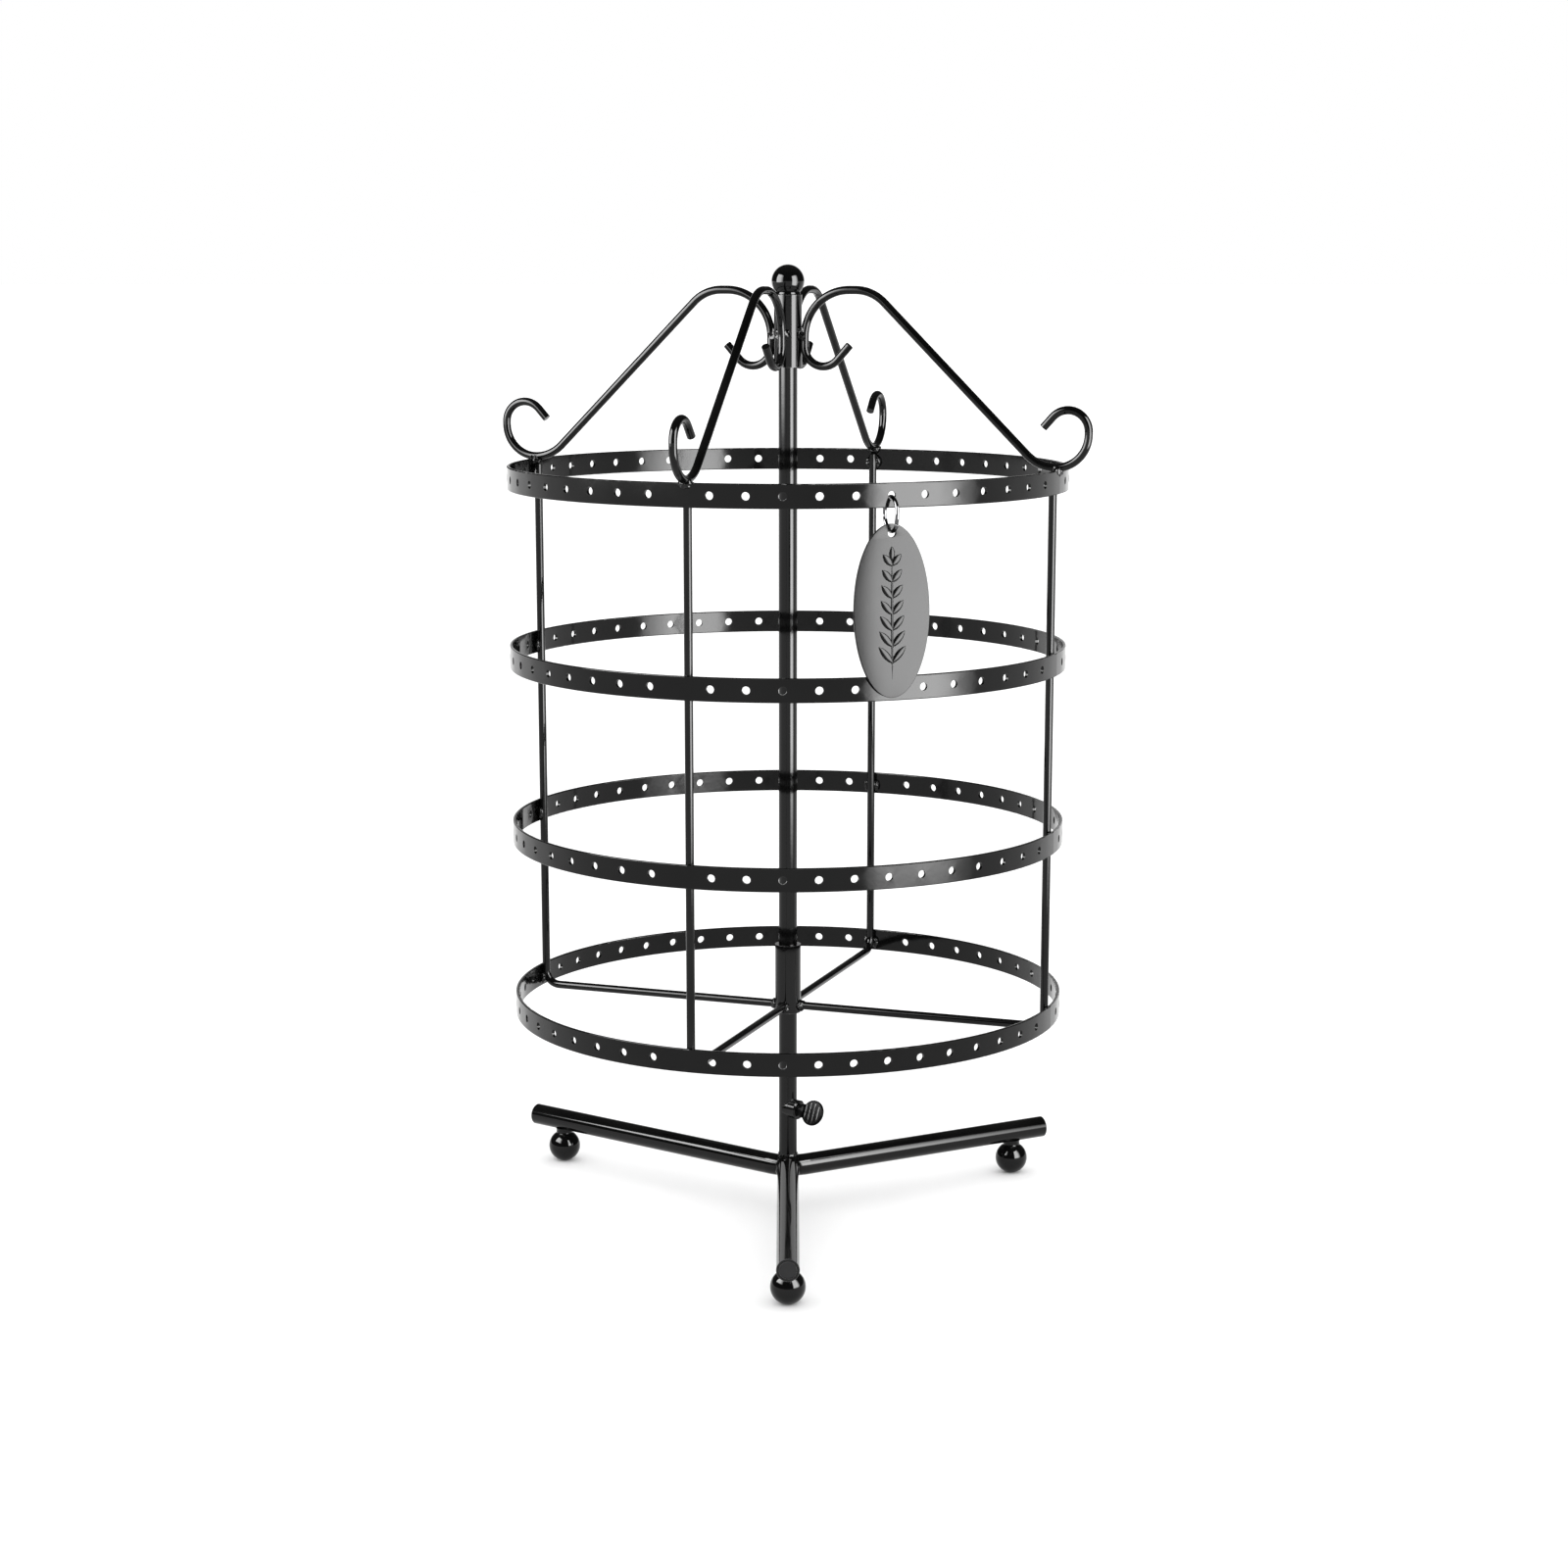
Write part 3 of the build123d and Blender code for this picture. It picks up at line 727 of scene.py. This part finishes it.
class Pole:
    """The pole, its threaded boss and the nylon pivot inside its top."""

    def build(self) -> None:
        """Dresses the pole's nodes."""
        paint(TUBE_ENAMEL, ("pole_tube",))
        paint(CAST_ENAMEL, ("screw_boss",))
        paint(PIVOT_NYLON, ("pivot_plug",))


@dataclass
class ThumbScrew:
    """Clamp screw with a flat, ribbed thumb piece."""

    tip: float = 2.2 * MM
    major_r: float = 2.0 * MM
    minor_r: float = 1.6 * MM
    pitch: float = 0.7 * MM
    neck_r: float = 2.5 * MM
    neck_from: float = 6.6 * MM
    reach: float = 11.4 * MM
    disc_r: float = 4.5 * MM
    disc_t: float = 1.3 * MM
    disc_edge_r: float = 0.45 * MM
    rib_count: int = 4
    rib_w: float = 0.62 * MM
    rib_h: float = 0.45 * MM
    roll: float = radians(-24.0)

    def place(self) -> Matrix:
        """Where the screw lies: X runs out along it, and the thumb piece is flat across Y.

        Returns:
            The place as a matrix.
        """
        joint = JOINTS["screw_turn"]
        out = Vector(joint["axis"])
        turn = Matrix.Rotation(out.to_2d().angle_signed(Vector((1, 0))), 4, "Z")
        return Matrix.Translation(joint["pos_m"]) @ turn @ Matrix.Rotation(self.roll, 4, "X")

    def build(self) -> None:
        """Makes the screw as one piece."""
        piece = Piece()
        place = self.place()
        self.thread(piece, place)
        ribs = self.thumb(piece, place)
        screw = settle(piece.finish("thumb_screw_cast"), THUMB_ENAMEL, Body.SCREW, "thumb_screw")
        screw.data.materials.append(RUBBED_RIB.material())
        for index in ribs:
            screw.data.polygons[index].material_index = 1

    def thread(self, piece: Piece, place: Matrix) -> None:
        """Adds the threaded shank and the plain neck behind it.

        Args:
            piece: The mesh to add to.
            place: The screw's place.
        """
        steps, around = 150, 40
        end = self.neck_from
        rings = []
        for j in range(steps + 1):
            x = self.tip + (end - self.tip) * j / steps
            ring = []
            for angle in turns(around):
                phase = (x / self.pitch - angle / tau) % 1.0
                crest = 1.0 - abs(2.0 * phase - 1.0)
                lead = min(1.0, (x - self.tip) / (0.5 * MM))
                r = self.minor_r + (self.major_r - self.minor_r) * min(1.0, 1.3 * crest) * lead
                ring.append(place @ Vector((x, r * cos(angle), r * sin(angle))))
            rings.append(ring)
        piece.skin(rings)
        upright = place @ Matrix.Rotation(pi / 2, 4, "Y")
        neck_end = self.reach - self.disc_r + 1.4 * MM
        start = end - 0.1 * MM
        profile = [(0.0, start), (self.neck_r - 0.3 * MM, start), (self.neck_r, start + 0.3 * MM)]
        profile += [(self.neck_r, neck_end - 0.6 * MM), (self.neck_r * 0.7, neck_end)]
        piece.lathe(profile, upright, 48)

    def thumb(self, piece: Piece, place: Matrix) -> range:
        """Adds the disc and the rounded ribs on both of its faces.

        Args:
            piece: The mesh to add to.
            place: The screw's place.

        Returns:
            Numbers of the ribs' faces.
        """
        half = self.disc_t / 2
        edge = self.disc_edge_r
        rim = arc(edge, -pi / 2, 0.0, 9, edge - half) + arc(edge, 0.0, pi / 2, 9, half - edge)
        profile = [(0.0, -half), *((self.disc_r - edge + out, up) for out, up in rim), (0.0, half)]
        disc = place @ Matrix.Translation((self.reach, 0, 0)) @ Matrix.Rotation(-pi / 2, 4, "X")
        piece.lathe(profile, disc, 96)
        spacing = 2 * self.disc_r / (self.rib_count + 1)
        first = len(piece.mesh.faces)
        for side in (-1, 1):
            for k in range(self.rib_count):
                x = (k - (self.rib_count - 1) / 2) * spacing
                length = sqrt((self.disc_r - 0.5 * MM) ** 2 - x ** 2)
                self.rib(piece, disc, x, length, side * half)
        return range(first, len(piece.mesh.faces))

    def rib(self, piece: Piece, disc: Matrix, x: float, length: float, face: float) -> None:
        """Adds one rounded rib.

        Args:
            piece: The mesh to add to.
            disc: Place of the thumb piece, its face across Z.
            x: Where the rib stands.
            length: Half its length.
            face: Height of the face that it stands on, negative on the back.
        """
        rings = []
        steps, around = 25, 24
        for j in range(steps):
            share = -1 + 2 * j / (steps - 1)
            taper = max(0.02, sqrt(max(0.0, 1 - abs(share) ** 8)))
            ring = []
            for angle in turns(around):
                across = x + self.rib_w / 2 * cos(angle) * taper
                ring.append(disc @ Vector((across, share * length, face + self.rib_h * sin(angle) * taper)))
            rings.append(ring)
        piece.skin(rings)


@dataclass(frozen=True)
class Bead:
    """A lump of weld: where it sits from its joint, its half sizes and how uneven it is."""

    out: float
    up: float
    radii: tuple[float, float, float]
    rough: float = 0.2


@dataclass
class Cage:
    """Four perforated bands on bent uprights, four scroll arms and the sleeves that run on the pole."""

    tiers: int = 4
    letters: str = "abcd"
    band_t: float = 1.1 * MM
    rod_r: float = 1.4 * MM
    tack_aside: float = 0.3 * MM
    tack: Bead = Bead(-0.75 * MM, -4.7 * MM, (0.95 * MM, 1.15 * MM, 1.95 * MM))
    heel: Bead = Bead(-0.4 * MM, -0.3 * MM, (2.1 * MM, 2.5 * MM, 1.9 * MM))
    side: Bead = Bead(0.3 * MM, 0.0, (2.0 * MM, 2.2 * MM, 2.6 * MM), 0.36)
    spoke: Bead = Bead(0.1 * MM, 0.0, (1.9 * MM, 2.1 * MM, 2.0 * MM))
    ball_r: float = 5.5 * MM
    collar_r: float = 4.2 * MM
    collar_edge: float = 0.2 * MM
    arc_share: float = 0.985

    def build(self) -> None:
        """Makes and dresses the whole cage."""
        paint(BAND_ENAMEL, [f"band_{tier}" for tier in range(1, self.tiers + 1)])
        paint(ROD_ENAMEL, [f"upright_{letter}" for letter in self.letters])
        paint(ROD_ENAMEL, [f"scroll_arm_{letter}" for letter in self.letters])
        paint(TUBE_ENAMEL, ("top_sleeve", "bottom_sleeve", "sleeve_cap"))
        paint(BRIGHT_STEEL, ("finial_stud",))
        self.tacks()
        self.joints()
        self.finial()

    def directions(self) -> list[float]:
        """Direction in plan of each upright, in radians."""
        hooks = [MOUNTS[f"chain_hook_{letter}"] for letter in self.letters]
        return [-Vector((1, 0)).angle_signed(hook.to_2d()) for hook in hooks]

    def tacks(self) -> None:
        """Two tacks at each crossing of an upright and a band."""
        bead = self.tack
        aside = self.rod_r + self.tack_aside
        for tier in range(1, self.tiers + 1):
            low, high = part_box(f"band_{tier}")
            inner = (high.x - low.x) / 2 - self.band_t
            piece = Piece()
            for n, way in enumerate(self.directions()):
                turn = Matrix.Rotation(way, 3, "Z")
                for side in (-1, 1):
                    at = Vector((inner + bead.out, side * aside, high.z + bead.up))
                    piece.lump(turn @ at, Vector(bead.radii), turn, 40 * tier + 4 * n + side, bead.rough)
            settle(piece.finish(f"band_{tier}_tacks"), WELD_ENAMEL, Body.CAGE, f"band_{tier}_welds")

    def joints(self) -> None:
        """Welds under the arms' heels, at the top sleeve and at the spokes' inner ends."""
        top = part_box("band_1")[1]
        seats = {
            "arm_heel_welds": (top.x - self.band_t / 2, top.z, self.heel),
            "arm_sleeve_welds": (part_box("top_sleeve")[1].x, middle("arm_sleeve_welds").z, self.side),
            "spoke_welds": (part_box("bottom_sleeve")[1].x, middle("spoke_welds").z, self.spoke),
        }
        for node, (out, up, bead) in seats.items():
            at = Vector((out + bead.out, 0, up + bead.up))
            piece = Piece()
            for n, way in enumerate(self.directions()):
                turn = Matrix.Rotation(way, 3, "Z")
                piece.lump(turn @ at, Vector(bead.radii), turn, 11 * n + len(node), bead.rough)
            settle(piece.finish(f"{node}_beads"), WELD_ENAMEL, Body.CAGE, node)

    def finial(self) -> None:
        """Ball on its thin collar."""
        low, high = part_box("finial_ball")
        centre = high.z - self.ball_r
        seat = asin(sqrt(1 - (self.collar_r / self.ball_r) ** 2))
        top = centre - self.ball_r * sin(seat)
        edge = self.collar_edge
        profile = [(0.0, low.z), (self.collar_r - edge, low.z), (self.collar_r, low.z + edge)]
        profile += [(self.collar_r, top - edge), (self.collar_r - 0.6 * edge, top)]
        profile += arc(self.ball_r, -seat * self.arc_share, pi / 2, 72, centre)
        piece = Piece()
        piece.lathe(profile, Matrix.Identity(4), 128)
        settle(piece.finish("finial_ball_turned"), BALL_ENAMEL, Body.CAGE, "finial_ball")


@dataclass
class HangingTag:
    """Split ring and the oval tag that hangs from it."""

    mean_r: float = 5.35 * MM
    wire_r: float = 0.65 * MM
    split: float = radians(3.0)
    split_at: float = radians(-30.0)
    drop: float = 0.5 * MM
    half_w: float = 12.7 * MM
    half_h: float = 27.2 * MM
    thick: float = 1.0 * MM
    edge_r: float = 0.16 * MM
    hole_r: float = 1.3 * MM
    hole_inset: float = 2.9 * MM
    ends_apart: float = 0.16 * MM
    end_round: float = 0.5 * MM
    stem_foot: float = -21.5 * MM
    stem_tip: float = 17.0 * MM
    leaf_pairs: int = 7
    leaf_turn: float = radians(42.0)

    def place(self) -> Matrix:
        """The ring's centre, with X out from the pole, Y along the band and Z up.

        Returns:
            The place as a matrix.
        """
        joint = JOINTS["tag_swing"]
        at = Vector(joint["pos_m"])
        way = -Vector((1, 0)).angle_signed(at.to_2d())
        return Matrix.Translation(at) @ Matrix.Rotation(way, 4, "Z")

    def lean(self) -> float:
        """Angle by which the tag stands out at its foot, in radians, read from the tag's flat face."""
        face = max(NODES["tag_plate"].data.polygons, key=lambda polygon: polygon.area)
        return asin(abs(face.normal.z))

    def build(self) -> None:
        """Makes the ring and the tag."""
        self.ring()
        self.tag()

    def ring(self) -> None:
        """Round wire bent nearly shut, its ends slightly out of line."""
        place = self.place()
        steps, around = 160, 28
        rings = []
        for j in range(steps + 1):
            share = j / steps
            turn = self.split_at + self.split / 2 + (tau - self.split) * share
            sideways = self.ends_apart * (2 * share - 1) * abs(2 * share - 1) ** 3
            end = min(share, 1 - share) * (tau - self.split) * self.mean_r
            round_off = min(1.0, 0.8 + end / self.end_round)
            middle_at = Vector((self.mean_r * cos(turn), sideways, self.mean_r * sin(turn)))
            out = Vector((cos(turn), 0, sin(turn)))
            ring = []
            for angle in turns(around):
                reach = self.wire_r * round_off
                aside = Vector((0, reach * sin(angle), 0))
                ring.append(place @ (middle_at + out * reach * cos(angle) + aside))
            rings.append(ring)
        piece = Piece()
        piece.skin(rings)
        settle(piece.finish("split_ring"), CHROME_WIRE, Body.RING, "jump_ring")

    def tag(self) -> None:
        """Oval plate with eased edges, its hole and a raised sprig."""
        hole_y = -(self.mean_r + self.drop)
        centre_y = hole_y + self.hole_inset - self.half_h
        plate = self.plate(hole_y, centre_y)
        piece = Piece()
        piece.mesh.from_mesh(plate)
        bpy.data.meshes.remove(plate)
        bmesh.ops.remove_doubles(piece.mesh, verts=piece.mesh.verts, dist=0.002 * MM)
        self.sprig(piece, centre_y)
        upright = Matrix.Rotation(-self.lean(), 4, "Y") @ Matrix.Rotation(pi / 2, 4, "Z")
        upright = upright @ Matrix.Rotation(pi / 2, 4, "X")
        bmesh.ops.transform(piece.mesh, matrix=self.place() @ upright, verts=piece.mesh.verts)
        settle(piece.finish("oval_tag"), TAG_ENAMEL, Body.TAG, "tag_plate")

    def plate(self, hole_y: float, centre_y: float) -> bpy.types.Mesh:
        """The flat plate, its face across Z.

        Args:
            hole_y: Where the hole's centre is.
            centre_y: Where the oval's centre is.

        Returns:
            A mesh with rounded edges.
        """
        curve = bpy.data.curves.new("tag_outline", "CURVE")
        curve.dimensions = "2D"
        curve.fill_mode = "BOTH"
        curve.bevel_depth = self.edge_r
        curve.bevel_resolution = 4
        curve.offset = -self.edge_r
        curve.extrude = self.thick / 2 - self.edge_r
        for wide, tall, y, count in ((self.half_w, self.half_h, centre_y, 160),
                                     (self.hole_r, self.hole_r, hole_y, 48)):
            spline = curve.splines.new("POLY")
            spline.points.add(count - 1)
            spline.use_cyclic_u = True
            for k, point in enumerate(spline.points):
                angle = tau * k / count
                point.co = (wide * cos(angle), y + tall * sin(angle), 0.0, 1.0)
        holder = bpy.data.objects.new("tag_outline", curve)
        bpy.context.scene.collection.objects.link(holder)
        bpy.context.view_layer.update()
        mesh = bpy.data.meshes.new_from_object(holder.evaluated_get(bpy.context.evaluated_depsgraph_get()))
        bpy.data.objects.remove(holder)
        bpy.data.curves.remove(curve)
        return mesh

    def sprig(self, piece: Piece, centre_y: float) -> None:
        """Raised stem with paired leaves and a bud, the tag's plain ornament.

        Args:
            piece: The tag's mesh.
            centre_y: Where the oval's centre is.
        """
        face = self.thick / 2
        foot = centre_y + self.stem_foot
        tip = centre_y + self.stem_tip
        self.leaf(piece, Vector((0, (foot + tip) / 2, face)), (tip - foot) / 2, 0.42 * MM, 0.26 * MM, 0.0)
        for k in range(self.leaf_pairs):
            y = foot + 5.0 * MM + (tip - foot - 8.0 * MM) * k / (self.leaf_pairs - 1)
            length = (3.7 - 0.2 * k) * MM
            for side in (-1, 1):
                at = Vector((side * length * 0.85 * sin(self.leaf_turn), y + length * 0.75, face))
                self.leaf(piece, at, length, 1.15 * MM, 0.4 * MM, -side * self.leaf_turn)
        self.leaf(piece, Vector((0, tip + 1.0 * MM, face)), 2.2 * MM, 1.0 * MM, 0.38 * MM, 0.0)

    @staticmethod
    def leaf(piece: Piece, at: Vector, length: float, width: float, height: float, turn: float) -> None:
        """One pointed leaf with a soft crown.

        Args:
            piece: The mesh to add to.
            at: Its middle, on the face.
            length: Half its length.
            width: Half its width.
            height: How far it stands out.
            turn: Its direction, in radians from +Y.
        """
        place = Matrix.Translation(at) @ Matrix.Rotation(turn, 4, "Z")
        steps, around = 21, 16
        rings = []
        for j in range(steps):
            share = -1 + 2 * j / (steps - 1)
            taper = max(0.03, 1 - abs(share) ** 2.2)
            ring = []
            for angle in turns(around):
                ring.append(place @ Vector((width * taper * cos(angle), share * length,
                                            height * sqrt(taper) * sin(angle))))
            rings.append(ring)
        piece.skin(rings)


# --------------------------------------------------------------------------- studio
@dataclass(frozen=True)
class SoftBox:
    """A tall rectangular light that stands on the floor beside the camera."""

    name: str
    azimuth: float
    distance: float
    width: float
    height: float
    middle_z: float
    radiance: float
    fade_low: float
    fade_high: float
    fade_ends: float = 0.1

    def build(self) -> None:
        """Makes the light. It is seen in gloss, and leaves the floor's shade to the sky."""
        lamp = bpy.data.lights.new(self.name, "AREA")
        lamp.shape = "RECTANGLE"
        lamp.size = self.width
        lamp.size_y = self.height
        lamp.energy = 4.0 * self.radiance * self.width * self.height
        self.diffuser(lamp)
        holder = bpy.data.objects.new(self.name, lamp)
        way = radians(self.azimuth)
        at = Vector((self.distance * sin(way), -self.distance * cos(way), self.middle_z))
        holder.location = at
        aim = Vector((0, 0, self.middle_z)) - at
        holder.rotation_euler = aim.to_track_quat("-Z", "Y").to_euler()
        holder.visible_camera = False
        holder.visible_diffuse = False
        bpy.context.scene.collection.objects.link(holder)

    def diffuser(self, lamp: bpy.types.Light) -> None:
        """Lets the light fall off towards the edges of its cloth.

        Args:
            lamp: The lamp's data.
        """
        lamp.use_nodes = True
        lamp.node_tree.nodes.clear()
        wiring = Wiring(lamp.node_tree)
        across = wiring.add("ShaderNodeNewGeometry").outputs["Parametric"]
        sides = wiring.add("ShaderNodeSeparateXYZ", {0: across}).outputs
        low = wiring.spread(sides["X"], 0.0, self.fade_low, 0.0, 1.0)
        high = wiring.spread(sides["X"], 1.0, 1.0 - self.fade_high, 0.0, 1.0)
        foot = wiring.spread(sides["Y"], 0.0, self.fade_ends, 0.0, 1.0)
        head = wiring.spread(sides["Y"], 1.0, 1.0 - self.fade_ends, 0.0, 1.0)
        wide = wiring.maths("MULTIPLY", low, high)
        tall = wiring.maths("MULTIPLY", foot, head)
        strength = wiring.maths("MULTIPLY", wide, tall)
        glow = wiring.add("ShaderNodeEmission", {"Color": grey(1.0), "Strength": strength})
        wiring.add("ShaderNodeOutputLight", {"Surface": glow.outputs[0]})


@dataclass
class Studio:
    """Plain pale floor, soft light and the camera."""

    floor_r: float = 60.0
    floor_tone: float = 0.96
    sky_seen: float = 1.0
    sky_light: float = 1.42
    gloss_room: float = 0.05
    gloss_wall: float = 0.7
    wall_side: tuple[float, float] = (0.84, 0.92)
    wall_top: tuple[float, float] = (0.27, 0.3)
    camera_back: float = 1.0194
    camera_above_band: float = 0.0650
    camera_pitch: float = radians(11.246)
    lens: float = 68.56
    shift: tuple[float, float] = (-0.0025, 0.0500)
    boxes: tuple[SoftBox, ...] = (
        SoftBox("soft_box_right", azimuth=52.0, distance=0.55, width=0.467, height=0.72, middle_z=0.37,
                radiance=22.0, fade_low=0.1, fade_high=0.4),
        SoftBox("soft_box_left", azimuth=-60.0, distance=0.55, width=0.56, height=0.56, middle_z=0.515,
                radiance=21.0, fade_low=0.04, fade_high=0.4),
    )

    def build(self) -> None:
        """Makes the floor, the sky, the lights and the camera."""
        self.floor()
        self.sky()
        for box in self.boxes:
            box.build()
        self.camera()
        bpy.context.scene.view_settings.view_transform = "Standard"

    def floor(self) -> None:
        """A wide pale floor."""
        mesh = bmesh.new()
        bmesh.ops.create_circle(mesh, cap_ends=True, segments=128, radius=self.floor_r)
        data = bpy.data.meshes.new("floor")
        mesh.to_mesh(data)
        mesh.free()
        floor = bpy.data.objects.new("floor", data)
        bpy.context.scene.collection.objects.link(floor)
        material = bpy.data.materials.new("pale_floor")
        material.use_nodes = True
        shader = material.node_tree.nodes["Principled BSDF"]
        shader.inputs["Base Color"].default_value = grey(self.floor_tone)
        shader.inputs["Roughness"].default_value = 0.9
        shader.inputs["Specular IOR Level"].default_value = 0.0
        data.materials.append(material)

    def sky(self) -> None:
        """White surroundings that gloss sees as a dim room with a low pale wall behind the rack."""
        world = bpy.data.worlds.new("studio_sky")
        world.use_nodes = True
        bpy.context.scene.world = world
        wiring = Wiring(world.node_tree)
        world.node_tree.nodes.clear()
        rays = wiring.add("ShaderNodeLightPath").outputs
        seen = wiring.spread(rays["Is Camera Ray"], 0.0, 1.0, self.sky_light, self.sky_seen)
        toward = wiring.add("ShaderNodeTexCoord").outputs["Generated"]
        way = wiring.add("ShaderNodeSeparateXYZ", {0: toward}).outputs
        behind = wiring.spread(way["Y"], *self.wall_side, 0.0, 1.0)
        low_down = wiring.spread(way["Z"], *self.wall_top, 1.0, 0.0)
        wall = wiring.maths("MULTIPLY", behind, low_down)
        room = wiring.spread(wall, 0.0, 1.0, self.gloss_room, self.gloss_wall)
        gap = wiring.maths("SUBTRACT", room, seen)
        strength = wiring.maths("MULTIPLY_ADD", rays["Is Glossy Ray"], gap, seen)
        light = wiring.add("ShaderNodeBackground", {"Color": grey(1.0), "Strength": strength})
        wiring.add("ShaderNodeOutputWorld", {"Surface": light.outputs[0]})

    def camera(self) -> None:
        """Camera level with the front leg's line, a little above the top band."""
        data = bpy.data.cameras.new("camera")
        data.sensor_width = 36.0
        data.lens = self.lens
        data.shift_x, data.shift_y = self.shift
        data.clip_end = 200.0
        camera = bpy.data.objects.new("camera", data)
        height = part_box("band_1")[1].z + self.camera_above_band
        camera.location = (0.0, -self.camera_back, height)
        camera.rotation_euler = (pi / 2 - self.camera_pitch, 0.0, 0.0)
        bpy.context.scene.collection.objects.link(camera)
        bpy.context.scene.camera = camera


def main() -> None:
    """Builds every assembly in order."""
    logging.basicConfig(level=logging.INFO, format="%(name)s: %(message)s")
    for assembly in (TripodBase(), Pole(), ThumbScrew(), Cage(), HangingTag(), Studio()):
        log.info("building %s", type(assembly).__name__)
        assembly.build()
    bpy.context.view_layer.update()


if __name__ == "__main__":
    main()
